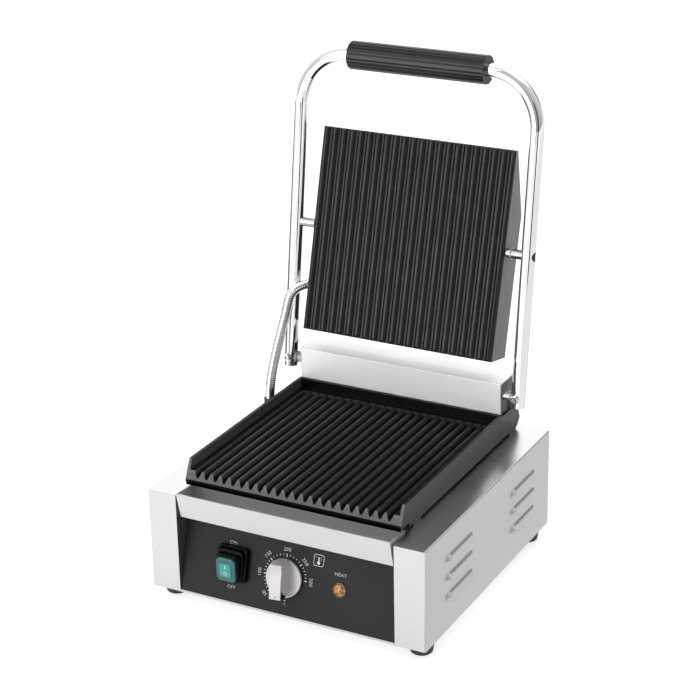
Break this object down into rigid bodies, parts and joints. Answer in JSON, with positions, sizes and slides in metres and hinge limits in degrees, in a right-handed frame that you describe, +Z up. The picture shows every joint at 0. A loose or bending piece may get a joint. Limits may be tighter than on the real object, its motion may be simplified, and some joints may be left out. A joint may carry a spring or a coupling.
{
  "type": "panini press",
  "caption": "Single contact grill with a ribbed iron plate in a louvred steel housing and a floating ribbed lid plate on a bent tube arm, shown open.",
  "frame": {"origin": "on the bench, below the middle of the whole press as it stands with its lid open", "axes": "+X to the user's right, +Y to the back of the press, +Z up"},
  "size_m": [0.298, 0.3178, 0.485],
  "materials": {
    "stainless": "brushed",
    "zinc_steel": "zinc plated",
    "foot_rubber": "moulded",
    "black_plastic": "moulded",
    "panel_black": "satin",
    "bronze": "plain",
    "amber_lens": "clear",
    "black_iron": "seasoned enamel",
    "heater_sheath": "oxidised",
    "mineral_wool": "felted",
    "ceramic": "fired",
    "chrome_tube": "polished",
    "grip_plastic": "fluted",
    "lid_sheet": "satin",
    "silver_knob": "satin",
    "teal_boot": "clear",
    "green_key": "clear"
  },
  "bodies": {
    "base": {"housing_shell": "stainless", "base_plate": "zinc_steel", "feet": "foot_rubber", "foot_screws": "zinc_steel", "foot_nuts": "zinc_steel", "rear_panel": "stainless", "rear_screws": "zinc_steel", "mains_gland": "black_plastic", "gland_locknut": "black_plastic", "control_panel": "panel_black", "switch_bezel": "black_plastic", "switch_body": "black_plastic", "thermostat_body": "zinc_steel", "thermostat_nut": "zinc_steel", "thermostat_bulb": "bronze", "lamp_lens": "amber_lens", "lamp_body": "black_plastic", "lower_plate": "black_iron", "hinge_bushes": "bronze", "lower_heater": "heater_sheath", "lower_clamp_plate": "zinc_steel", "lower_insulation": "mineral_wool", "heat_shield": "zinc_steel", "plate_studs": "zinc_steel", "stud_nuts": "zinc_steel", "terminal_block": "ceramic", "earth_stud": "bronze", "spring_cover": "stainless", "cover_screws": "zinc_steel", "counterbalance_springs": "zinc_steel", "spring_anchor": "zinc_steel", "conduit": "chrome_tube", "conduit_gland": "black_plastic"},
    "lid_arms": {"arm_tube": "chrome_tube", "handle_grip": "grip_plastic", "hinge_shaft": "zinc_steel", "counterbalance_levers": "zinc_steel", "clamp_screws": "chrome_tube", "clamp_saddles": "chrome_tube", "clamp_nuts": "zinc_steel", "shaft_washers": "zinc_steel", "pivot_rods": "chrome_tube", "pivot_clip": "zinc_steel", "arm_plugs": "black_plastic"},
    "upper_plate": {"upper_plate": "black_iron", "upper_cover": "lid_sheet", "upper_heater": "heater_sheath", "upper_clamp_plate": "zinc_steel", "upper_insulation": "mineral_wool", "conduit_elbow": "chrome_tube"},
    "drip_tray": {"drip_tray": "stainless"},
    "knob": {"knob": "silver_knob", "thermostat_shaft": "zinc_steel"},
    "rocker": {"rocker_boot": "teal_boot", "rocker_key": "green_key"}
  },
  "joints": [
    {"name": "lid_hinge", "type": "hinge", "parent": "base", "child": "lid_arms", "pos_m": [0, 0.10137, 0.1605], "axis": [1, 0, 0], "range_deg": [0, 103.5], "deforming": ["conduit", "counterbalance_springs"]},
    {"name": "plate_swivel", "type": "hinge", "parent": "lid_arms", "child": "upper_plate", "pos_m": [0, 0.12105, 0.30052], "axis": [1, 0, 0], "range_deg": [0, 4]},
    {"name": "tray_slide", "type": "slide", "parent": "base", "child": "drip_tray", "axis": [0, -1, 0], "range_m": [0, 0.04]},
    {"name": "knob_turn", "type": "hinge", "parent": "base", "child": "knob", "pos_m": [-0.0042, -0.13551, 0.048], "axis": [0, 0.9627, -0.2706], "range_deg": [0, 270]},
    {"name": "rocker_tilt", "type": "hinge", "parent": "base", "child": "rocker", "pos_m": [-0.0591, -0.13478, 0.0506], "axis": [-1, 0, 0], "range_deg": [0, 32]}
  ]
}
